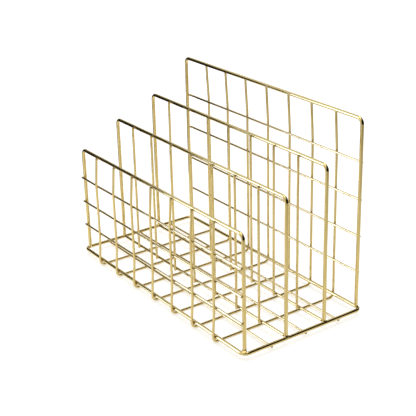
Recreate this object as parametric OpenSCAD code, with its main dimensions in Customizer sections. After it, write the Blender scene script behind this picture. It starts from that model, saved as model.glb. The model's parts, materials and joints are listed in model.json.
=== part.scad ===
// Desk sorter of welded wire: four upright panels of rising height on a wire base make three
// open-ended slots for books and files.
// X runs along the panels, Y from the low front panel to the high back panel, Z up.
// The origin is at the middle of the base, on the table.

/* [Base] */
// Length of the base over the outside of its ring
base_length = 310; // [240:1:380]
// Radius of the ring's corner bends, on the wire's centre line
ring_bend = 6.5; // [4:0.5:15]
// How far past the start of a corner bend the legs of the end panels stand
corner_leg = 2.2; // [0:0.1:3]
// Clearance in plan between the front panel's legs and the straight front rail
front_leg_clear = 0.2; // [0:0.05:0.5]
// Number of thin wires that run along the base
base_wire_count = 3; // [2:1:5]
// How far outside the dividers' planes the first and last thin base wires lie
base_wire_reach = 18.5; // [10:0.5:30]
// How far the thin base wires reach past the side rails' centre lines
base_wire_overhang = 0.4; // [0:0.1:1.5]

/* [Slots] */
// Width of the front slot, between the planes of its panels
front_slot = 48.5; // [35:0.5:80]
// Width of the middle slot, between the planes of its panels
middle_slot = 49; // [35:0.5:80]
// Width of the back slot, between the planes of its panels
back_slot = 46; // [35:0.5:80]

/* [Panels] */
// Height of the front panel above the table
front_height = 131.5; // [100:0.5:200]
// Height of the first divider above the table
divider_1_height = 156.5; // [100:0.5:240]
// Height of the second divider above the table
divider_2_height = 176.5; // [100:0.5:260]
// Height of the back panel above the table
back_height = 212.5; // [130:0.5:300]
// Radius of the panels' top corner bends, on the wire's centre line
frame_bend = 6; // [4:0.5:20]
// How far in from the side rails' centre lines the dividers' legs stand
divider_leg_inset = 1.3; // [0:0.1:1.7]
// Height of the dividers' bottom rails above the ring, between centre lines
rail_lift = 1.7; // [0.5:0.1:6]

/* [Upright wires] */
// Number of upright wires in each panel
upright_count = 7; // [3:1:9]
// Spacing of a leg and the outermost upright wire, between centre lines
end_gap = 38.4; // [20:0.2:60]
// Sideways offset of the whole set of U wires from the middle of the base
u_wire_shift = -2.7; // [-6:0.1:6]
// How far above a top bar's centre line the upright wires are cut off
lap_rise = 0.5; // [0:0.1:1.2]
// How far below the back top bar's centre line the U wires are cut off
back_lap_drop = 0.3; // [0:0.1:1]
// Radius of the U wires' bends under the ring, on the wire's centre line
u_wire_bend = 5.4; // [2.5:0.1:5.6]
// Straight stretch of a U wire past the bars and the ring that it is welded to
set_clear = 4; // [3:0.5:8]

/* [Cross bars] */
// Number of cross bars on the front panel
front_bar_count = 3; // [2:1:4]
// Height of the lowest front bar above the ring, between centre lines
front_bar_low = 31.5; // [20:0.5:36]
// Drop from the front panel's top bar to its highest cross bar, between centre lines
front_bar_high = 33.5; // [20:0.5:36]
// How far the front cross bars reach past the legs' centre lines
front_bar_overhang = 1; // [0:0.1:3]
// Number of cross bars on the back panel
back_bar_count = 4; // [2:1:6]
// Height of the lowest back bar above the ring, between centre lines
back_bar_low = 39.5; // [20:0.5:50]
// Drop from the back panel's top bar to its highest cross bar, between centre lines
back_bar_high = 45.5; // [20:0.5:50]
// How far the back cross bars stop short of the legs' centre lines
back_bar_inset = 0.8; // [0:0.1:1]

/* [Wire] */
// Diameter of the wire of the ring and of the panels' frames
frame_wire = 3.8; // [3:0.1:5]
// Diameter of the dividers' bottom rails
rail_wire = 3; // [2:0.1:3.5]
// Diameter of the U wires and of the dividers' upright wires
upright_wire = 2.6; // [1.6:0.1:3]
// Diameter of the cross bars and of the thin base wires
bar_wire = 2.4; // [1.4:0.1:2.6]
// Gap left at each weld, between wires that touch
weld_gap = 0.05; // [0.02:0.01:0.2]

/* [Hidden] */
$fn = 48;
BRASS = [0.80, 0.69, 0.42];
PALE_BRASS = [0.86, 0.77, 0.52];
frame_r = frame_wire / 2;
rail_r = rail_wire / 2;
upright_r = upright_wire / 2;
bar_r = bar_wire / 2;

// Levels of the welded base, from the table up: U wires, thin base wires, ring
u_wire_z = upright_r;
base_wire_z = upright_wire + weld_gap + bar_r;
ring_z = base_wire_z + bar_r + weld_gap + frame_r;
rail_z = ring_z + rail_lift;

// Plan of the base, with the ring's centre line at plus and minus ring_x and ring_y
// The front legs stand beside the front rail
// The back legs stand so that the U wires run straight up past the ring and the bars
front_leg_inset = frame_wire + front_leg_clear;
back_leg_inset = bar_wire + weld_gap;
ring_x = base_length / 2 - frame_r;
ring_y = (front_leg_inset + front_slot + middle_slot + back_slot + back_leg_inset) / 2;
front_y = -ring_y + front_leg_inset;
divider_1_y = front_y + front_slot;
divider_2_y = divider_1_y + middle_slot;
back_y = ring_y - back_leg_inset;
first_base_wire_y = divider_1_y - base_wire_reach;
last_base_wire_y = divider_2_y + base_wire_reach;

// Legs: those of the end panels stand in the ring's corners, those of the dividers on its sides
corner_x = ring_x - ring_bend;
end_leg_x = corner_x + corner_leg;
divider_leg_x = ring_x - divider_leg_inset;

// Upright wires lie against the outside of their top bar, and U wires outside the bars and the ring
frame_wrap = frame_r + weld_gap + upright_r;
bar_offset = frame_r + weld_gap + bar_r;
bar_wrap = bar_offset + bar_r + weld_gap + upright_r;
rail_offset = frame_r - rail_r;

// Turns below the limit, in degrees, are left out
// A slight turn is a knuckle that stands a little proud of the wire
straight_limit = 0.3;
knuckle = 0.03;

// Centre of a panel's top bar, from the panel's height
function top_bar_z(height) = height - frame_r;

// Place of upright wire i, counted from the left, between legs at plus and minus leg_x
function upright_x(i, leg_x) =
    let (outer = leg_x - end_gap)
    -outer + (i - 1) * 2 * outer / (upright_count - 1);

// Height of cross bar i, counted from the bottom, with even spaces between the lowest and the highest
function bar_z(i, count, low, high, height) =
    let (first = ring_z + low, last = top_bar_z(height) - high)
    first + (i - 1) * (last - first) / (count - 1);

// Distance in plan from an end panel's leg to the centre line of the ring's corner bend
function corner_distance(inset) = abs(ring_bend - norm([corner_leg, ring_bend - inset]));

// Height above the ring's centre at which a leg meets it, when its axis is a distance away in plan
function foot_rise(distance) =
    let (edge = max(0, distance - frame_r))
    sqrt(max(0, frame_r * frame_r - edge * edge));

// Flat geometry of a path: direction of the stretch after point i, and the turn at point i
function point(path, i) = [path[i][0], path[i][1]];
function along(path, i) =
    let (step = point(path, i + 1) - point(path, i))
    step / norm(step);
function left_of(v) = [-v[1], v[0]];
function turn(path, i) =
    let (a = along(path, i - 1), b = along(path, i))
    atan2(a[0] * b[1] - a[1] * b[0], a * b);
function is_end(path, i) = i == 0 || i == len(path) - 1;
function trim_at(path, i) = is_end(path, i) ? 0 : path[i][2] * tan(abs(turn(path, i)) / 2);
function without_flat_turns(path) =
    [for (i = [0:len(path) - 1]) if (is_end(path, i) || abs(turn(path, i)) > straight_limit) path[i]];

// Straight wire from one flat point to another
module straight_stretch(from, to, d) {
    step = to - from;
    translate([from[0], from[1], 0])
        rotate([0, 0, atan2(step[1], step[0])])
            rotate([0, 90, 0])
                cylinder(d = d, h = norm(step));
}

// Bend of a wire round point i of its path, tangent to the stretches before and after it
module bend(path, i, d) {
    angle = turn(path, i);
    radius = path[i][2];
    side = angle > 0 ? 1 : -1;
    start = point(path, i) - trim_at(path, i) * along(path, i - 1);
    centre = start + side * radius * left_of(along(path, i - 1));
    first = -side * left_of(along(path, angle > 0 ? i - 1 : i));
    translate([centre[0], centre[1], 0])
        rotate([0, 0, atan2(first[1], first[0])])
            rotate_extrude(angle = abs(angle))
                translate([radius, 0])
                    circle(d = d);
}

// Joint of a wire at point i of its path: a bend, or a knuckle at a slight turn, which has radius 0
module joint(path, i, d) {
    if (path[i][2] > 0)
        bend(path, i, d);
    else
        translate([path[i][0], path[i][1], 0])
            sphere(d = d + 2 * knuckle);
}

// Straight stretch of a wire after point i of its path, drawn from the end that has a bend
module stretch(path, i, d) {
    from = point(path, i) + trim_at(path, i) * along(path, i);
    to = point(path, i + 1) - trim_at(path, i + 1) * along(path, i);
    if (path[i][2] > 0)
        straight_stretch(from, to, d);
    else
        straight_stretch(to, from, d);
}

// Wire of diameter d along a flat path of points [u, v, bend radius]
module bent_wire(full_path, d) {
    path = without_flat_turns(full_path);
    stretch(path, 0, d);
    for (i = [1:len(path) - 2]) {
        joint(path, i, d);
        stretch(path, i, d);
    }
}

// Straight wire along X, centred on the middle of the base
module cross_wire(half_length, y, z, d) {
    translate([-half_length, y, z])
        rotate([0, 90, 0])
            cylinder(d = d, h = 2 * half_length);
}

// Closed ring of thick wire round the base, joined in the middle of its front rail
module base_ring() {
    color(BRASS)
        translate([0, 0, ring_z])
            bent_wire([[0, -ring_y, 0], [ring_x, -ring_y, ring_bend], [ring_x, ring_y, ring_bend],
                       [-ring_x, ring_y, ring_bend], [-ring_x, -ring_y, ring_bend], [0, -ring_y, 0]],
                      frame_wire);
}

// Frame of a panel: two legs and a top bar bent from one thick wire
module panel_frame(y, leg_x, height, rise) {
    foot_z = ring_z + rise + weld_gap;
    top_z = top_bar_z(height);
    color(BRASS)
        translate([0, y, 0])
            rotate([90, 0, 0])
                bent_wire([[-leg_x, foot_z, 0], [-leg_x, top_z, frame_bend],
                           [leg_x, top_z, frame_bend], [leg_x, foot_z, 0]], frame_wire);
}

module front_frame() {
    panel_frame(front_y, end_leg_x, front_height, foot_rise(corner_distance(front_leg_inset)));
}

module divider_1_frame() {
    panel_frame(divider_1_y, divider_leg_x, divider_1_height, foot_rise(divider_leg_inset));
}

module divider_2_frame() {
    panel_frame(divider_2_y, divider_leg_x, divider_2_height, foot_rise(divider_leg_inset));
}

module back_frame() {
    panel_frame(back_y, end_leg_x, back_height, foot_rise(corner_distance(back_leg_inset)));
}

// Bottom rail of a divider, welded between its two legs
module divider_rail(y) {
    color(BRASS)
        cross_wire(divider_leg_x - frame_r - weld_gap, y - rail_offset, rail_z, rail_wire);
}

// U wire: upright outside the front panel, under the base, and upright outside the back panel
module u_wire(i) {
    front_low = bar_z(1, front_bar_count, front_bar_low, front_bar_high, front_height) - set_clear;
    front_high = top_bar_z(front_height) - front_bar_high + set_clear;
    back_low = bar_z(1, back_bar_count, back_bar_low, back_bar_high, back_height) - set_clear;
    back_high = top_bar_z(back_height) - back_bar_high + set_clear;
    ring_top = ring_z + set_clear;
    // The bend starts no higher than the ring's centre line, so that it clears the ring
    bend = min(u_wire_bend, ring_z - u_wire_z);
    color(PALE_BRASS)
        translate([upright_x(i, end_leg_x) + u_wire_shift, 0, 0])
            rotate([90, 0, 90])
                bent_wire([[front_y - frame_wrap, top_bar_z(front_height) + lap_rise, 0],
                           [front_y - bar_wrap, front_high, 0],
                           [front_y - bar_wrap, front_low, 0],
                           [-ring_y - frame_wrap, ring_top, 0],
                           [-ring_y - frame_wrap, u_wire_z, bend],
                           [ring_y + frame_wrap, u_wire_z, bend],
                           [ring_y + frame_wrap, ring_top, 0],
                           [back_y + bar_wrap, back_low, 0],
                           [back_y + bar_wrap, back_high, 0],
                           [back_y + frame_wrap, top_bar_z(back_height) - back_lap_drop, 0]],
                          upright_wire);
}

// Upright wire of a divider, on the front of its top bar and of its bottom rail
module divider_wire(i, y, height) {
    foot_z = rail_z - rail_r;
    color(PALE_BRASS)
        translate([upright_x(i, divider_leg_x), y - frame_wrap, foot_z])
            cylinder(d = upright_wire, h = top_bar_z(height) + lap_rise - foot_z);
}

// Thin wire along the base, between the ring above it and the U wires below it
module base_wire(i) {
    pitch = (last_base_wire_y - first_base_wire_y) / (base_wire_count - 1);
    y = first_base_wire_y + (i - 1) * pitch;
    color(PALE_BRASS)
        cross_wire(ring_x + base_wire_overhang, y, base_wire_z, bar_wire);
}

// Cross bar on the outside of the front panel's legs
module front_bar(i) {
    z = bar_z(i, front_bar_count, front_bar_low, front_bar_high, front_height);
    color(PALE_BRASS)
        cross_wire(end_leg_x + front_bar_overhang, front_y - bar_offset, z, bar_wire);
}

// Cross bar on the outside of the back panel's legs
module back_bar(i) {
    z = bar_z(i, back_bar_count, back_bar_low, back_bar_high, back_height);
    color(PALE_BRASS)
        cross_wire(end_leg_x - back_bar_inset, back_y + bar_offset, z, bar_wire);
}

base_ring();
front_frame();
divider_1_frame();
divider_2_frame();
back_frame();
divider_rail(divider_1_y);  // divider_1_rail
divider_rail(divider_2_y);  // divider_2_rail
for (i = [1:upright_count]) {
    u_wire(i);
    divider_wire(i, divider_1_y, divider_1_height);
    divider_wire(i, divider_2_y, divider_2_height);
}
for (i = [1:base_wire_count])
    base_wire(i);
for (i = [1:front_bar_count])
    front_bar(i);
for (i = [1:back_bar_count])
    back_bar(i);
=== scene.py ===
"""Looks of a desk sorter of welded wire in pale gold plate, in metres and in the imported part's frame."""
import json

import bpy
import numpy as np
from mathutils import Matrix, Vector


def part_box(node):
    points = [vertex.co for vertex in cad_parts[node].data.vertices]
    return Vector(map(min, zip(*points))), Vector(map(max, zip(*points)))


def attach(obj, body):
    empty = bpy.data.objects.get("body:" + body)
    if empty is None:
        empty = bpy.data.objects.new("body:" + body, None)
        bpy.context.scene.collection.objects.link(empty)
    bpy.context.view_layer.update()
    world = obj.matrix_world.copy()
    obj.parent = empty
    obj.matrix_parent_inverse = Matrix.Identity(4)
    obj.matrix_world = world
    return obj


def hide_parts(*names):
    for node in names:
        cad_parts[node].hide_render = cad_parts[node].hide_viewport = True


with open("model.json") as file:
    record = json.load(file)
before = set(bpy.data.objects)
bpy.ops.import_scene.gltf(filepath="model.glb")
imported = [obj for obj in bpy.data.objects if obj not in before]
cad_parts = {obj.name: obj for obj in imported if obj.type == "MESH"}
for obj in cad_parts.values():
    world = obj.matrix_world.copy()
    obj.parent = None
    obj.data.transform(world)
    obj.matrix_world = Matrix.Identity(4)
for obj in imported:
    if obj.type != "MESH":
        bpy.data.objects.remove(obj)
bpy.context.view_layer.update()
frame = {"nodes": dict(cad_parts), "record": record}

MM = 0.001

# Bends of the wires, on their centre lines
RING_BEND = 6.5 * MM
FRAME_BEND = 6 * MM
U_WIRE_BEND = 5.4 * MM
# Radius at which a U wire sways in from the ring to the bars and out to the top bar
SWAY_BEND = 40 * MM
# Straight stretch of a U wire past the bars and the ring that it is welded to
SET_CLEAR = 4 * MM
# How far above a top bar's centre line the uprights are cut off
LAP_RISE = 0.5 * MM
# How far below the back top bar's centre line the U wires are cut off
BACK_LAP_DROP = 0.3 * MM
# How far below a top bar's centre line the uprights' welds lie
LAP_WELD_DROP = 0.4 * MM
# Gap between two wires at a weld, which the bead fills
WELD_GAP = 0.05 * MM
# Second weld of a U wire on the ring, in its bend: how far below level it lies, and the gap that it fills
BEND_WELD_TURN = np.radians(52)
BEND_WELD_GAP = 0.64 * MM

# Fineness of the swept wires
SIDES = 24
STEP = 3 * MM
BEND_STEPS = 14
# Rounded edge of a sheared end: distance from the end and share of the radius there
CUT_DEPTH = np.array([0.0, 0.12, 0.4])
CUT_SHARE = np.array([0.8, 0.96, 1.0])
# Slight sway that drawn wire keeps after straightening: heights and lengths of two waves
WAVE_HEIGHTS = np.array([0.035, 0.05]) * MM
WAVE_LENGTHS = np.array([47, 83]) * MM
# How fast each wave's start changes from wire to wire, and how near to a wire's end the waves die out
WAVE_STARTS = np.array([1, 2.7])
WAVE_FADE = 10 * MM

# Weld beads: share of the thinner wire's radius that the bead bridges, its flare and the most that it reaches
BEAD_BRIDGE = 0.3
BEAD_FLARE = 1.3
BEAD_LIMIT = 0.95
BEAD_SIDES = 16
# Rings of a bead: share of the way from wire to wire, share of the flare, and how far the end rings sink in
BEAD_LEVELS = np.array([0, 0.15, 0.5, 0.85, 1])
BEAD_SHARES = np.array([1, 0.3, 0, 0.3, 1])
BEAD_SINK = np.array([-0.1, 0, 0, 0, 0.1]) * MM
# Fillets where a wire ends on another: height up it, reach along and round the other one, and fullness
FILLET_HEIGHT = 1.6 * MM
FILLET_REACH = 2.8 * MM
FILLET_WRAP = 1.35
FILLET_BULGE = 0.6
# Share of a foot's lean to one side of the ring that its fillet follows, and the rings of a fillet
FILLET_LEAN = 0.3
FILLET_RINGS = 6
# How far heat tint spreads from a weld
HEAT_SPREAD = 2.2 * MM

UPRIGHT = "divider_1_wire_1"
nodes = sorted(frame["nodes"])
slot_of = {part["node"]: part["material_slot"] for part in frame["record"]["subparts"]}


def named(start):
    """Names of the CAD nodes that start with the given words, in order."""
    return [n for n in nodes if n.startswith(start)]


def span(node):
    """Lowest and highest corner of a CAD node, as arrays."""
    low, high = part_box(node)
    return np.array(low), np.array(high)


def middle(node):
    """Centre of a CAD node's box."""
    low, high = span(node)
    return (low + high) / 2


def wire_radius(node):
    """Radius of a CAD node's wire: half of its box's least extent, or of an upright's for the U wires."""
    low, high = span(UPRIGHT if node.startswith("u_wire_") else node)
    return (high - low).min() / 2


def leg_x(frame_node):
    """Places along X of a frame's two legs."""
    low, high = span(frame_node)
    r = wire_radius(frame_node)
    return np.array([low[0] + r, high[0] - r])


def top_z(frame_node):
    """Height of a frame's top bar, at its centre line."""
    return span(frame_node)[1][2] - wire_radius(frame_node)


def unit(v):
    """Vectors of length one along the last axis."""
    return v / np.linalg.norm(v, axis=-1, keepdims=True)


# Centre lines of the wires

def arc(before, corner, after, radius):
    """Points of the bend at a corner: a circle's arc of that radius, tangent to the lines on both sides."""
    into, out = unit(corner - before), unit(after - corner)
    angle = np.arccos(np.clip(into @ out, -1, 1))
    start = corner - into * radius * np.tan(angle / 2)
    inward = unit(out - into * (into @ out))
    turn = np.linspace(0, angle, BEND_STEPS)[:, None]
    return start + radius * (np.sin(turn) * into + (1 - np.cos(turn)) * inward)


def stretch(start, end):
    """Points inside a straight stretch, about one STEP apart, without its ends."""
    count = max(2, int(np.ceil(np.linalg.norm(end - start) / STEP)))
    return start + np.linspace(0, 1, count + 1)[1:-1, None] * (end - start)


def bent_line(corners, radii, closed=False):
    """Centre line of a bent wire: straight stretches, with an arc of its own radius at each corner."""
    corners = np.asarray(corners, float)
    count = len(corners)
    bends = []
    for k in range(count):
        if radii[k]:
            bends.append(arc(corners[k - 1], corners[k], corners[(k + 1) % count], radii[k]))
        else:
            bends.append(corners[k:k + 1])
    line = []
    for k in range(count):
        line.append(bends[k])
        if closed or k < count - 1:
            line.append(stretch(bends[k][-1], bends[(k + 1) % count][0]))
    return np.concatenate(line)


def straight_line(node):
    """Centre line of a straight wire: the middle of its box, from end to end along the longest side."""
    low, high = span(node)
    axis = np.argmax(high - low)
    start, end = middle(node), middle(node)
    start[axis], end[axis] = low[axis], high[axis]
    return np.concatenate([start[None], stretch(start, end), end[None]])


def ring_line(node):
    """Centre line of the base ring: a rectangle in plan, with round corners."""
    low, high = span(node)
    r = wire_radius(node)
    z = middle(node)[2]
    x0, y0, x1, y1 = low[0] + r, low[1] + r, high[0] - r, high[1] - r
    return bent_line([[x0, y0, z], [x1, y0, z], [x1, y1, z], [x0, y1, z]], [RING_BEND] * 4, closed=True)


def frame_line(node):
    """Centre line of a panel's frame: up one leg, along the top bar and down the other leg."""
    low, high = span(node)
    r = wire_radius(node)
    y = middle(node)[1]
    x0, x1, top = low[0] + r, high[0] - r, high[2] - r
    corners = [[x0, y, low[2]], [x0, y, top], [x1, y, top], [x1, y, low[2]]]
    return bent_line(corners, [0, FRAME_BEND, FRAME_BEND, 0])


def u_wire_line(node):
    """Centre line of a U wire: down the front panel, under the base and up the back panel.

    It lies outside the cross bars and the ring, and leans in to lap the two top bars.
    """
    r = wire_radius(node)
    ring_low, ring_high = span("base_ring")
    x, bottom, front, back = middle(node)[0], r, ring_low[1] - WELD_GAP - r, ring_high[1] + WELD_GAP + r
    ring_top = middle("base_ring")[2] + SET_CLEAR
    bars, back_bars = named("front_bar_"), named("back_bar_")
    bar_y = span(bars[0])[0][1] - WELD_GAP - r
    corners = [
        [x, span("front_frame")[0][1] - WELD_GAP - r, top_z("front_frame") + LAP_RISE],
        [x, bar_y, middle(bars[-1])[2] + SET_CLEAR],
        [x, bar_y, middle(bars[0])[2] - SET_CLEAR],
        [x, front, ring_top],
        [x, front, bottom],
        [x, back, bottom],
        [x, back, middle(back_bars[-1])[2] + SET_CLEAR],
        [x, span("back_frame")[1][1] + WELD_GAP + r, top_z("back_frame") - BACK_LAP_DROP]]
    return bent_line(corners, [0, SWAY_BEND, SWAY_BEND, SWAY_BEND, U_WIRE_BEND, U_WIRE_BEND, SWAY_BEND, 0])


# Welds: where two wires touch, and where a wire ends on another one

def crossings(points, first, second, normal, first_radius, second_radius):
    """Crossing welds as arrays: touching point, both wires' directions, way from first to second, radii."""
    points = np.asarray(points, float).reshape(-1, 3)
    ones = np.ones((len(points), 1))
    return {"point": points, "first": ones * first, "second": ones * second, "normal": ones * normal,
            "first_radius": ones[:, 0] * first_radius, "second_radius": ones[:, 0] * second_radius}


def grid(xs, ys, zs):
    """Every combination of the given places along X, Y and Z, as points."""
    return np.stack(np.meshgrid(xs, ys, zs, indexing="ij"), -1).reshape(-1, 3)


def places(names, axis):
    """Places of the middles of several CAD nodes along one axis."""
    return np.array([middle(n)[axis] for n in names])


def joined(groups):
    """Several groups of crossing welds as one."""
    return {key: np.concatenate([g[key] for g in groups]) for key in groups[0]}


X, Y, Z = np.eye(3)
u_wires = named("u_wire_")
front_bars, back_bars, base_wires = named("front_bar_"), named("back_bar_"), named("base_wire_")
thick_r, upright_r = wire_radius("base_ring"), wire_radius(u_wires[0])
thin_r, rail_r = wire_radius(front_bars[0]), wire_radius("divider_1_rail")
ring_low, ring_high = span("base_ring")
ring_mid = middle("base_ring")
u_wire_x = places(u_wires, 0)


def lap_welds(frame_node, upright_x, side):
    """Welds between a top bar and the uprights that lap it, on its side -1, the front, or 1, the back."""
    y = middle(frame_node)[1] + side * (thick_r + WELD_GAP / 2)
    z = top_z(frame_node) - LAP_WELD_DROP - (BACK_LAP_DROP if side > 0 else 0)
    return crossings(grid(upright_x, y, z), X, Z, side * Y, thick_r, upright_r)


def bend_welds(side):
    """Welds in the U wires' bends, on the ring's lower outer quarter, at its front, side -1, or back, 1."""
    rail_y = (ring_low if side < 0 else ring_high)[1] - side * thick_r
    cos, sin = np.cos(BEND_WELD_TURN), np.sin(BEND_WELD_TURN)
    outward = side * cos * Y - sin * Z
    round_bend = side * sin * Y + cos * Z
    spots = grid(u_wire_x, rail_y, ring_mid[2]) + (thick_r + BEND_WELD_GAP / 2) * outward
    return crossings(spots, X, round_bend, outward, thick_r, upright_r)


def panel_welds(frame_node, bars, side):
    """Welds of an end panel: bars on the legs, U wires on the bars, on the top bar and on the ring."""
    leg_y = middle(frame_node)[1] + side * (thick_r + WELD_GAP / 2)
    bar_y = middle(bars[0])[1] + side * (thin_r + WELD_GAP / 2)
    ring_y = (ring_low if side < 0 else ring_high)[1] + side * WELD_GAP / 2
    bar_z = places(bars, 2)
    bar_low, bar_high = span(bars[0])
    bar_end_x = np.clip(leg_x(frame_node), bar_low[0], bar_high[0])
    return joined([
        crossings(grid(bar_end_x, leg_y, bar_z), Z, X, side * Y, thick_r, thin_r),
        crossings(grid(u_wire_x, bar_y, bar_z), X, Z, side * Y, thin_r, upright_r),
        crossings(grid(u_wire_x, ring_y, ring_mid[2]), X, Z, side * Y, thick_r, upright_r),
        bend_welds(side),
        lap_welds(frame_node, u_wire_x, side)])


def divider_welds(frame_node, rail, uprights):
    """Welds of a divider: its uprights on the fronts of its top bar and of its bottom rail."""
    upright_x = places(uprights, 0)
    rail_y = middle(rail)[1] - rail_r - WELD_GAP / 2
    return joined([
        crossings(grid(upright_x, rail_y, middle(rail)[2]), X, Z, -Y, rail_r, upright_r),
        lap_welds(frame_node, upright_x, -1)])


def base_welds():
    """Welds of the base: thin wires on top of the U wires, and under the ring's side rails."""
    wire_y = places(base_wires, 1)
    wire_low, wire_high = span(base_wires[0])
    rail_x = np.array([ring_low[0] + thick_r, ring_high[0] - thick_r])
    return joined([
        crossings(grid(u_wire_x, wire_y, wire_low[2] - WELD_GAP / 2), X, Y, -Z, thin_r, upright_r),
        crossings(grid(rail_x, wire_y, wire_high[2] + WELD_GAP / 2), X, Y, Z, thin_r, thick_r)])


weld_groups = {
    "front_panel_welds": panel_welds("front_frame", front_bars, -1),
    "back_panel_welds": panel_welds("back_frame", back_bars, 1),
    "divider_1_welds": divider_welds("divider_1_frame", "divider_1_rail", named("divider_1_wire_")),
    "divider_2_welds": divider_welds("divider_2_frame", "divider_2_rail", named("divider_2_wire_")),
    "base_welds": base_welds(),
}
weld_points = np.concatenate([g["point"] for g in weld_groups.values()])


# Meshes

def ring_faces(rings, sides, closed=False):
    """Four-sided faces between neighbouring rings of a tube, and from last to first if it is closed."""
    i = np.arange(rings if closed else rings - 1)[:, None]
    j = np.arange(sides)[None]
    after, beside = (i + 1) % rings, (j + 1) % sides
    quads = [i * sides + j, i * sides + beside, after * sides + beside, after * sides + j]
    return np.stack(np.broadcast_arrays(*quads), -1).reshape(-1, 4)


def pole_faces(rings, sides):
    """Triangles from the first and the last ring of a tube to the two end points after its rings."""
    j = np.arange(sides)
    beside = (j + 1) % sides
    first = rings * sides + np.zeros_like(j)
    last_ring = (rings - 1) * sides
    return np.concatenate([np.stack([beside, j, first], -1),
                           np.stack([last_ring + j, last_ring + beside, first + 1], -1)])


def heat(points):
    """Heat tint at points: one at a weld, and falling off with distance as a bell curve does."""
    nearest = np.full(len(points), np.inf)
    for weld in weld_points:
        nearest = np.minimum(nearest, ((points - weld) ** 2).sum(-1))
    return np.exp(-nearest / HEAT_SPREAD ** 2)


def make_piece(name, points, quads, triangles, coordinates, cut, material):
    """A piece of the sorter as a smooth mesh, with wire place, weld heat and sheared ends as attributes."""
    mesh = bpy.data.meshes.new(name)
    mesh.from_pydata(points.tolist(), [], quads.tolist() + triangles.tolist())
    mesh.shade_smooth()
    mesh.attributes.new("wire_place", "FLOAT_VECTOR", "POINT").data.foreach_set(
        "vector", coordinates.astype(np.float32).ravel())
    mesh.attributes.new("weld_heat", "FLOAT", "POINT").data.foreach_set(
        "value", heat(points).astype(np.float32))
    mesh.attributes.new("sheared_end", "FLOAT", "POINT").data.foreach_set(
        "value", cut.astype(np.float32))
    mesh.materials.append(material)
    piece = bpy.data.objects.new(name, mesh)
    bpy.context.scene.collection.objects.link(piece)
    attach(piece, "root")
    return piece


def distances(line):
    """Distance along a line at each of its points."""
    return np.concatenate([[0], np.cumsum(np.linalg.norm(np.diff(line, axis=0), axis=-1))])


def sway(along, length, phase, closed):
    """Slight sway of drawn wire: two sine waves along its length, which die out at its ends."""
    if closed:
        waves = np.round(length / WAVE_LENGTHS) / length
        ends = np.ones_like(along)
    else:
        waves = 1 / WAVE_LENGTHS
        ends = np.clip(np.minimum(along, length - along) / WAVE_FADE, 0, 1)
    turns = along[:, None] * waves + phase * WAVE_STARTS
    return ends * (np.sin(2 * np.pi * turns) @ WAVE_HEIGHTS)


def swept_wire(node, line, across, phase, material, closed=False):
    """A CAD node's wire as a circle carried along its centre line.

    A point is the centre line's, plus the radius times cosine and sine of the angle round it, along the
    flat path's own normal and the direction square to it. Near a sheared end the radius shrinks over a
    rounded edge.
    """
    r = wire_radius(node)
    along = distances(line)
    if not closed:
        length = along[-1]
        edges = np.concatenate([CUT_DEPTH * r, length - CUT_DEPTH * r])
        inner = along[(along > edges[2]) & (along < edges[-1])]
        places_along = np.sort(np.concatenate([edges, inner]))
        line = np.stack([np.interp(places_along, along, line[:, k]) for k in range(3)], -1)
        along = places_along
        radius = r * np.interp(np.minimum(along, length - along), CUT_DEPTH * r, CUT_SHARE)
        forward = unit(np.gradient(line, along, axis=0))
    else:
        length = along[-1] + np.linalg.norm(line[0] - line[-1])
        radius = np.full(len(along), r)
        forward = unit(np.roll(line, -1, axis=0) - np.roll(line, 1, axis=0))
    rings = len(line)
    line = line + sway(along, length, phase, closed)[:, None] * across
    angle = np.linspace(0, 2 * np.pi, SIDES, endpoint=False)
    beside = unit(np.cross(forward, across))
    circle = (np.cos(angle)[None, :, None] * across + np.sin(angle)[None, :, None] * beside[:, None, :])
    points = (line[:, None, :] + radius[:, None, None] * circle).reshape(-1, 3)
    coordinates = np.stack(np.broadcast_arrays(
        along[:, None] + phase, r * np.cos(angle)[None], r * np.sin(angle)[None]), -1).reshape(-1, 3)
    cut = np.zeros(rings * SIDES)
    triangles = np.zeros((0, 3), int)
    if not closed:
        points = np.concatenate([points, line[:1], line[-1:]])
        coordinates = np.concatenate([coordinates, [[phase, 0, 0], [phase + length, 0, 0]]])
        cut[:SIDES] = 1
        cut[-SIDES:] = 1
        cut = np.concatenate([cut, [1, 1]])
        triangles = pole_faces(rings, SIDES)
    piece = make_piece(node + "_gold", points, ring_faces(rings, SIDES, closed), triangles, coordinates, cut,
                       material)
    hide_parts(node)
    return piece


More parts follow.
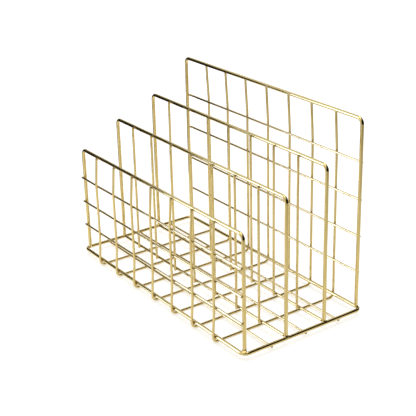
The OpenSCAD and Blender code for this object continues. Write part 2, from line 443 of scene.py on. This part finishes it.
def beads(name, welds, material):
    """Weld beads of a group of crossings, one closed spool each.

    Round the touching point, each wire's surface falls away by its radius less the root of radius squared
    less distance squared. The bead's waist runs where that gap reaches a share of the thinner wire's
    radius, and it flares to both surfaces, with a pole inside each wire.
    """
    count = len(welds["point"])
    angle = np.linspace(0, 2 * np.pi, BEAD_SIDES, endpoint=False)
    cos, sin = np.cos(angle)[None], np.sin(angle)[None]
    ra, rb = welds["first_radius"][:, None], welds["second_radius"][:, None]
    bridge = BEAD_BRIDGE * np.minimum(ra, rb)
    waist = np.sqrt(2 * bridge / (cos ** 2 / rb + sin ** 2 / ra))
    reach = np.minimum(waist * BEAD_FLARE, BEAD_LIMIT * np.minimum(ra, rb))
    low = np.sqrt(ra ** 2 - (reach * sin) ** 2) - ra
    high = rb - np.sqrt(rb ** 2 - (reach * cos) ** 2)
    out = waist[..., None] + (reach - waist)[..., None] * BEAD_SHARES
    up = low[..., None] + (high - low)[..., None] * BEAD_LEVELS + BEAD_SINK
    spot, normal = welds["point"][:, None, None], welds["normal"][:, None, None]
    points = (spot + (out * cos[..., None])[..., None] * welds["first"][:, None, None]
              + (out * sin[..., None])[..., None] * welds["second"][:, None, None] + up[..., None] * normal)
    points = points.transpose(0, 2, 1, 3).reshape(count, -1, 3)
    poles = welds["point"][:, None] + np.stack([-ra, rb], 1) / 2 * welds["normal"][:, None]
    points = np.concatenate([points, poles], 1)
    inside_out = np.einsum("wk,wk->w", np.cross(welds["first"], welds["second"]), welds["normal"]) < 0
    rings = len(BEAD_LEVELS)
    quads = closed_faces(ring_faces(rings, BEAD_SIDES), inside_out, points.shape[1])
    triangles = closed_faces(pole_faces(rings, BEAD_SIDES), inside_out, points.shape[1])
    points = points.reshape(-1, 3)
    return make_piece(name, points, quads, triangles, points, np.zeros(len(points)), material)


def closed_faces(faces, inside_out, stride):
    """Faces of many alike closed shapes, one after another, each turned round where it would face inwards."""
    turned = np.where(inside_out[:, None, None], faces[None, :, ::-1], faces[None])
    return (turned + stride * np.arange(len(inside_out))[:, None, None]).reshape(-1, faces.shape[1])


def fillets(name, ends, material):
    """Weld fillets where wires end on others, one closed collar each.

    Each point round the ended wire runs down a parabola: from the wire's wall, by way of a place lower on
    that wall, to a curve on the other wire's surface that reaches along it and wraps part of the way
    round it.
    """
    angle = np.linspace(0, 2 * np.pi, BEAD_SIDES, endpoint=False)
    cos, sin = np.cos(angle)[:, None], np.sin(angle)[:, None]
    all_points, all_quads, all_triangles, used = [], [], [], 0
    for end, axis, radius, core, along, core_radius in ends:
        side = unit(np.cross(along, axis))
        off = (end - core) @ side
        lean = np.arcsin(np.clip(off / (core_radius + radius), -1, 1))
        wrap = FILLET_LEAN * lean + FILLET_WRAP * sin
        foot = core + along * FILLET_REACH * cos + core_radius * (np.sin(wrap) * side + np.cos(wrap) * axis)
        wall = end + radius * (along * cos + side * sin)
        top = wall + axis * FILLET_HEIGHT
        level = wall + axis * ((foot + FILLET_BULGE * (top - foot) - wall) @ axis)[:, None]
        t = np.linspace(0, 1, FILLET_RINGS)[:, None, None]
        rings = (1 - t) ** 2 * foot + 2 * t * (1 - t) * level + t ** 2 * top
        poles = np.stack([core, end + axis * FILLET_HEIGHT])
        points = np.concatenate([rings.reshape(-1, 3), poles])
        inside_out = np.array([np.cross(along, side) @ axis < 0])
        all_points.append(points)
        all_quads.append(closed_faces(ring_faces(FILLET_RINGS, BEAD_SIDES), inside_out, 0) + used)
        all_triangles.append(closed_faces(pole_faces(FILLET_RINGS, BEAD_SIDES), inside_out, 0) + used)
        used += len(points)
    points = np.concatenate(all_points)
    return make_piece(name, points, np.concatenate(all_quads), np.concatenate(all_triangles), points,
                      np.zeros(len(points)), material)


def leg_ends():
    """The frames' feet on the ring: foot, way up, radius, and the ring's nearest point, way and radius."""
    line = ring_line("base_ring")
    forward = unit(np.roll(line, -1, axis=0) - np.roll(line, 1, axis=0))
    ends = []
    for node in ("front_frame", "divider_1_frame", "divider_2_frame", "back_frame"):
        for x in leg_x(node):
            foot = np.array([x, middle(node)[1], span(node)[0][2]])
            k = np.argmin(np.linalg.norm((line - foot)[:, :2], axis=-1))
            core = line[k] + forward[k] * ((foot - line[k]) @ forward[k])
            ends.append((foot, Z, thick_r, core, forward[k], thick_r))
    return ends


# Materials

# Waves per metre along and across a wire, of the colour's drift and of the die's fine lines
DRIFT_SCALE = (38, 260, 260)
LINE_SCALE = (60, 4200, 4200)
# Share of the heated gold at a weld, and the roughness that a weld and a sheared end add
HEAT_SHARE = 0.5
HEAT_DULLING = 0.12
SHEAR_DULLING = 0.25


def add(tree, kind, settings=None, inputs=None):
    """A shader node of that kind, with its settings made and its inputs set or joined to outputs."""
    made = tree.nodes.new(kind)
    for key, value in (settings or {}).items():
        setattr(made, key, value)
    for key, value in (inputs or {}).items():
        if isinstance(value, bpy.types.NodeSocket):
            tree.links.new(value, made.inputs[key])
        else:
            made.inputs[key].default_value = value
    return made


def attribute(tree, name, output):
    """Output of a node that reads one of the pieces' own attributes."""
    return add(tree, "ShaderNodeAttribute", {"attribute_name": name}).outputs[output]


def noise(tree, place, scale, detail):
    """Noise between 0 and 1 on places that are stretched by their own scale along each axis."""
    stretched = add(tree, "ShaderNodeMapping", None, {"Vector": place, "Scale": scale}).outputs["Vector"]
    inputs = {"Vector": stretched, "Scale": 1, "Detail": detail}
    return add(tree, "ShaderNodeTexNoise", None, inputs).outputs["Fac"]


def ramp(tree, value, low, high, to_low, to_high):
    """A value mapped from one span to another and held at the ends."""
    inputs = {"Value": value, "From Min": low, "From Max": high, "To Min": to_low, "To Max": to_high}
    return add(tree, "ShaderNodeMapRange", None, inputs).outputs["Result"]


def plus(tree, first, second):
    """Sum of two values."""
    return add(tree, "ShaderNodeMath", {"operation": "ADD"}, {0: first, 1: second}).outputs["Value"]


def mix_colour(tree, share, first, second):
    """Colour that goes from the first to the second as share goes from 0 to 1."""
    return add(tree, "ShaderNodeMix", {"data_type": "RGBA"}, {0: share, 6: first, 7: second}).outputs[2]


def gold_plate(name, gold, deep_gold, sheared_end_and_shade, smooth, dull):
    """Bright gold plate on drawn steel wire, with roughness between smooth and dull.

    The colour drifts slowly along the wire between two golds and is browner round the welds. Fine lines
    along the wire, left by the drawing die, show in roughness and bump. Sheared ends are duller and take
    their own colour, which on the uprights is darkened much further as painted shade for the dark
    reflection and contact shadow at their tops.
    """
    material = bpy.data.materials.new(name)
    material.use_nodes = True
    tree = material.node_tree
    shader = tree.nodes["Principled BSDF"]
    place = attribute(tree, "wire_place", "Vector")
    heat_tint = attribute(tree, "weld_heat", "Fac")
    sheared = attribute(tree, "sheared_end", "Fac")
    drift = ramp(tree, noise(tree, place, DRIFT_SCALE, 3), 0.35, 0.65, 0, 1)
    lines = noise(tree, place, LINE_SCALE, 2)
    colour = mix_colour(tree, drift, gold, deep_gold)
    colour = mix_colour(tree, ramp(tree, heat_tint, 0.1, 1, 0, HEAT_SHARE), colour, HEATED_GOLD)
    colour = mix_colour(tree, sheared, colour, sheared_end_and_shade)
    roughness = ramp(tree, lines, 0.3, 0.7, smooth, dull)
    roughness = plus(tree, roughness, ramp(tree, heat_tint, 0.1, 1, 0, HEAT_DULLING))
    roughness = plus(tree, roughness, ramp(tree, sheared, 0, 1, 0, SHEAR_DULLING))
    bump = add(tree, "ShaderNodeBump", None, {"Strength": 0.12, "Distance": 0.02 * MM, "Height": lines})
    tree.links.new(colour, shader.inputs["Base Color"])
    tree.links.new(roughness, shader.inputs["Roughness"])
    tree.links.new(bump.outputs["Normal"], shader.inputs["Normal"])
    shader.inputs["Metallic"].default_value = 1.0
    return material


HEATED_GOLD = (0.46, 0.34, 0.125, 1)
BRIGHT_GOLD = (0.69, 0.562, 0.278, 1)
SOFT_GOLD = (0.65, 0.517, 0.238, 1)
PALE_GOLD = (0.665, 0.525, 0.223, 1)
DEEP_GOLD = (0.60, 0.464, 0.18, 1)
SHEARED_GOLD = (0.42, 0.315, 0.12, 1)
# Uprights' sheared ends: the bare cut end's darker colour, darkened much more as painted shade for the dark
# reflection and contact shadow at their tops
BARE_END_AND_PAINTED_SHADE = (0.14, 0.10, 0.045, 1)
WELD_GOLD = (0.58, 0.445, 0.18, 1)
DEEP_WELD_GOLD = (0.50, 0.375, 0.14, 1)
plates = {
    "frame_wire": gold_plate("thick_wire_gold", PALE_GOLD, DEEP_GOLD, SHEARED_GOLD, 0.05, 0.10),
    # The uprights' sheared ends take the painted shade colour
    "upright_wire": gold_plate("upright_wire_gold", PALE_GOLD, DEEP_GOLD, BARE_END_AND_PAINTED_SHADE, 0.06, 0.12),
    "thin_wire": gold_plate("thin_wire_gold", BRIGHT_GOLD, SOFT_GOLD, SHEARED_GOLD, 0.05, 0.10),
}
weld_plate = gold_plate("weld_bead_gold", WELD_GOLD, DEEP_WELD_GOLD, HEATED_GOLD, 0.12, 0.22)


# The sorter's pieces

def flat_way(node):
    """Direction square to a wire's flat path, along which it sways.

    It is Z for the ring, X for the U wires and the dividers' uprights, and Y for the rest.
    """
    if node == "base_ring":
        return Z
    return X if node.startswith(("u_wire_", "divider_1_wire_", "divider_2_wire_")) else Y


def centre_line(node):
    """Centre line of a CAD node's wire."""
    if node == "base_ring":
        return ring_line(node)
    if node.endswith("_frame"):
        return frame_line(node)
    if node.startswith("u_wire_"):
        return u_wire_line(node)
    return straight_line(node)


GOLDEN_SHARE = 0.618
for index, node in enumerate(nodes):
    swept_wire(node, centre_line(node), flat_way(node), index * GOLDEN_SHARE, plates[slot_of[node]],
               closed=node == "base_ring")
for name, welds in weld_groups.items():
    beads(name, welds, weld_plate)
fillets("leg_fillets", leg_ends(), weld_plate)


# Studio: white floor, soft lamps and dark cards beside the view

FLOOR_HALF = 8.0
# How far under the sorter the floor lies, the sheet of painted shade on it, and the dark card on that
FLOOR_DROP = 0.1 * MM
FLOOR_SHADE_DROP = 0.05 * MM
FLOOR_CARD_DROP = 0.04 * MM
WORLD_LIGHT = 0.62
# Glow of the floor near the sorter and far from it, where the lamps reach it less, and both distances
FLOOR_GLOW = np.array([0.46, 0.6])
GLOW_REACH = np.array([0.25, 1.1])
PAPER_WHITE = (0.86, 0.86, 0.86, 1)
CARD_BLACK = (0.012, 0.011, 0.010, 1)
COOL_WHITE = (0.42, 0.54, 1.0)
# The left card's centre, half width and height, how far behind its centre it is cut off, and its fading
LEFT_CARD = (-1.05, 0.03, 0.17)
LEFT_HALVES = np.array([1.28, 0.83])
LEFT_CUT = 0.08
LEFT_FADE = np.array([0.84, 1.0])
# Corners in plan of the dark card on the floor at the left
LEFT_FLOOR_CARD = [(-3, 0.3), (-3, -1.5), (-1.5, -1.12), (-0.52, -0.47), (-0.32, -0.33), (-0.32, 0.3)]
# Lit part of the floor as the wires show it: its centre, and how far out it begins to fall off and ends
POOL_CENTRE = (-0.6, 0.05, 0)
POOL_REACH = np.array([0.7, 1.25])
# A fade that starts past every card, for cards of one even shade
NO_FADE = np.array([8, 9])
# Black cards that stand on the floor: centre in plan, width and height
STANDING_CARDS = {
    "view_card": ((1.15, -0.8), 1.4, 1.5),
    "right_card": ((1.35, 0.15), 0.8, 1.5),
    "back_card": ((0.75, 1.1), 3.0, 3.2),
}


def seen_directly(tree):
    """One for rays from the camera, from shiny surfaces and through clear ones, and zero for the rest."""
    path = add(tree, "ShaderNodeLightPath").outputs
    shown = add(tree, "ShaderNodeMath", {"operation": "MAXIMUM"},
                {0: path["Is Camera Ray"], 1: path["Is Glossy Ray"]}).outputs["Value"]
    return add(tree, "ShaderNodeMath", {"operation": "MAXIMUM"},
               {0: shown, 1: path["Is Transmission Ray"]}).outputs["Value"]


def far_from(tree, centre, halves):
    """Distance from a centre in the object's own coordinates, where each axis is measured in its own half."""
    place = add(tree, "ShaderNodeTexCoord").outputs["Object"]
    away = add(tree, "ShaderNodeVectorMath", {"operation": "SUBTRACT"},
               {0: place, 1: centre}).outputs["Vector"]
    shares = add(tree, "ShaderNodeVectorMath", {"operation": "DIVIDE"},
                 {0: away, 1: halves}).outputs["Vector"]
    return add(tree, "ShaderNodeVectorMath", {"operation": "LENGTH"}, {0: shares}).outputs["Value"]


def sheet_of(name, corners):
    """A flat stage object through its corners."""
    mesh = bpy.data.meshes.new(name)
    mesh.from_pydata([tuple(c) for c in corners], [], [tuple(range(len(corners)))])
    made = bpy.data.objects.new(name, mesh)
    bpy.context.scene.collection.objects.link(made)
    return made


def level_sheet(name, half, height):
    """A square stage object that lies level at a height."""
    corners = [(-half, -half, height), (half, -half, height), (half, half, height), (-half, half, height)]
    return sheet_of(name, corners)


def empty_material(name):
    """A new material whose node tree is still empty."""
    material = bpy.data.materials.new(name)
    material.use_nodes = True
    material.node_tree.nodes.clear()
    return material


def white_floor():
    """Pale floor just under the sorter: white paper that keeps the shadow and glows a little where seen."""
    floor = level_sheet("floor", FLOOR_HALF, -FLOOR_DROP)
    material = empty_material("white_floor")
    tree = material.node_tree
    paper = add(tree, "ShaderNodeBsdfDiffuse", None, {"Color": PAPER_WHITE}).outputs["BSDF"]
    level = ramp(tree, far_from(tree, (0, 0, 0), (1, 1, 1)), *GLOW_REACH, *FLOOR_GLOW)
    strength = add(tree, "ShaderNodeMath", {"operation": "MULTIPLY"},
                   {0: seen_directly(tree), 1: level}).outputs["Value"]
    glow = add(tree, "ShaderNodeEmission", None,
               {"Color": (1, 1, 1, 1), "Strength": strength}).outputs["Emission"]
    both = add(tree, "ShaderNodeAddShader", None, {0: paper, 1: glow}).outputs["Shader"]
    add(tree, "ShaderNodeOutputMaterial", None, {"Surface": both})
    floor.data.materials.append(material)


def only_in_reflections(card, material):
    """Gives a stage object its material and hides it from all but reflections."""
    card.data.materials.append(material)
    card.visible_camera = False
    card.visible_diffuse = False
    card.visible_shadow = False


def faded_black(name, centre, reach, inner, outer, halves=(1, 1, 1)):
    """Dull black that covers a share of inner near a centre and a share of outer far from it."""
    material = empty_material(name)
    tree = material.node_tree
    clear = add(tree, "ShaderNodeBsdfTransparent").outputs["BSDF"]
    black = add(tree, "ShaderNodeBsdfDiffuse", None, {"Color": CARD_BLACK}).outputs["BSDF"]
    share = ramp(tree, far_from(tree, centre, halves), *reach, inner, outer)
    both = add(tree, "ShaderNodeMixShader", None, {0: share, 1: clear, 2: black}).outputs["Shader"]
    add(tree, "ShaderNodeOutputMaterial", None, {"Surface": both})
    return material


def soft_lamp(name, place, aim, width, height, power):
    """Rectangular soft lamp at a place, turned to its aim."""
    lamp = bpy.data.lights.new(name, "AREA")
    lamp.shape = "RECTANGLE"
    lamp.size, lamp.size_y, lamp.energy = width, height, power
    made = bpy.data.objects.new(name, lamp)
    made.location = place
    made.rotation_euler = (Vector(aim) - Vector(place)).to_track_quat("-Z", "Y").to_euler()
    made.visible_camera = False
    bpy.context.scene.collection.objects.link(made)
    return made


def white_world():
    """Soft even light from all round, and plain white where it is seen."""
    world = bpy.data.worlds.new("white_studio")
    bpy.context.scene.world = world
    world.use_nodes = True
    tree = world.node_tree
    tree.nodes.clear()
    strength = ramp(tree, seen_directly(tree), 0, 1, WORLD_LIGHT, 1)
    shown = add(tree, "ShaderNodeBackground", None, {"Color": (1, 1, 1, 1), "Strength": strength})
    add(tree, "ShaderNodeOutputWorld", None, {"Surface": shown.outputs["Background"]})


def oval_card(centre, halves, cut):
    """Corners of an upright card that faces along X: an oval, cut off straight a little behind its centre."""
    start = np.arccos(cut / halves[0])
    turn = np.linspace(start, 2 * np.pi - start, 33)[:, None]
    return np.array(centre) + halves[0] * np.cos(turn) * Y + halves[1] * np.sin(turn) * Z


def square_card(centre, width, height):
    """Corners of an upright card on the floor, square to the way from the sorter to its centre in plan."""
    centre = np.array([*centre, 0.0])
    beside = unit(np.cross(Z, centre)) * width / 2
    return [centre - beside, centre + beside, centre + beside + Z * height, centre - beside + Z * height]


white_floor()
white_world()
soft_lamp("top_softbox", place=(0, 0, 1.9), aim=(0, 0, 0), width=1.2, height=1.2, power=10)
front_softbox = soft_lamp("front_left_softbox", place=(-0.73, -0.906, 0.45), aim=(-0.29, 0, 0.45),
                          width=0.45, height=0.9, power=9.5)
front_softbox.data.color = COOL_WHITE
front_softbox.visible_diffuse = False
black_card = faded_black("black_card", (0, 0, 0), NO_FADE, inner=1, outer=0)
grey_card = faded_black("grey_card", (0, 0, 0), NO_FADE, inner=0.5, outer=0)
# Painted shade: a sheet seen only in reflections, black away from the lit pool, that darkens the floor there
# as the wires show it
only_in_reflections(level_sheet("painted_floor_falloff", FLOOR_HALF, -FLOOR_SHADE_DROP),
                    faded_black("painted_floor_falloff_black", POOL_CENTRE, POOL_REACH, inner=0, outer=0.62))
only_in_reflections(sheet_of("left_card", oval_card(LEFT_CARD, LEFT_HALVES, LEFT_CUT)),
                    faded_black("black_oval_card", LEFT_CARD, LEFT_FADE, inner=0.97, outer=0,
                                halves=(1, *LEFT_HALVES)))
left_floor_corners = [(*corner, -FLOOR_CARD_DROP) for corner in LEFT_FLOOR_CARD]
only_in_reflections(sheet_of("left_floor_card", left_floor_corners), black_card)
for name, (centre, width, height) in STANDING_CARDS.items():
    only_in_reflections(sheet_of(name, square_card(centre, width, height)), black_card)
only_in_reflections(sheet_of("back_left_card", square_card((-1.04, 0.78), width=1.0, height=0.65)), grey_card)


# Camera at the photograph's viewing angle

VIEW_AZIMUTH, VIEW_ELEVATION, VIEW_ROLL = np.radians([55.17, 22.91, -1.49])
VIEW_DISTANCE = 1117.3 * MM
VIEW_PIVOT = np.array([0, 3.25, 85.75]) * MM
VIEW_OFFSET = np.array([7.34, -1.67]) * MM
LENS = 90.29


def photo_camera():
    """Camera that looks at the pivot from the view's angle, rolled about its axis and moved aside."""
    turn, lift = VIEW_AZIMUTH, VIEW_ELEVATION
    back = np.array([np.sin(turn) * np.cos(lift), -np.cos(turn) * np.cos(lift), np.sin(lift)])
    level = np.array([np.cos(turn), np.sin(turn), 0])
    upright = np.cross(back, level)
    right = np.cos(VIEW_ROLL) * level + np.sin(VIEW_ROLL) * upright
    up = np.cos(VIEW_ROLL) * upright - np.sin(VIEW_ROLL) * level
    place = VIEW_PIVOT + VIEW_DISTANCE * back - VIEW_OFFSET[0] * right - VIEW_OFFSET[1] * up
    camera = bpy.data.cameras.new("photo_camera")
    camera.lens = LENS
    camera.clip_start, camera.clip_end = 0.01, 50
    made = bpy.data.objects.new("photo_camera", camera)
    turned = Matrix(np.stack([right, up, back], -1).tolist()).to_4x4()
    turned.translation = Vector(place)
    made.matrix_world = turned
    bpy.context.scene.collection.objects.link(made)
    bpy.context.scene.camera = made


photo_camera()
bpy.context.scene.view_settings.view_transform = "Standard"
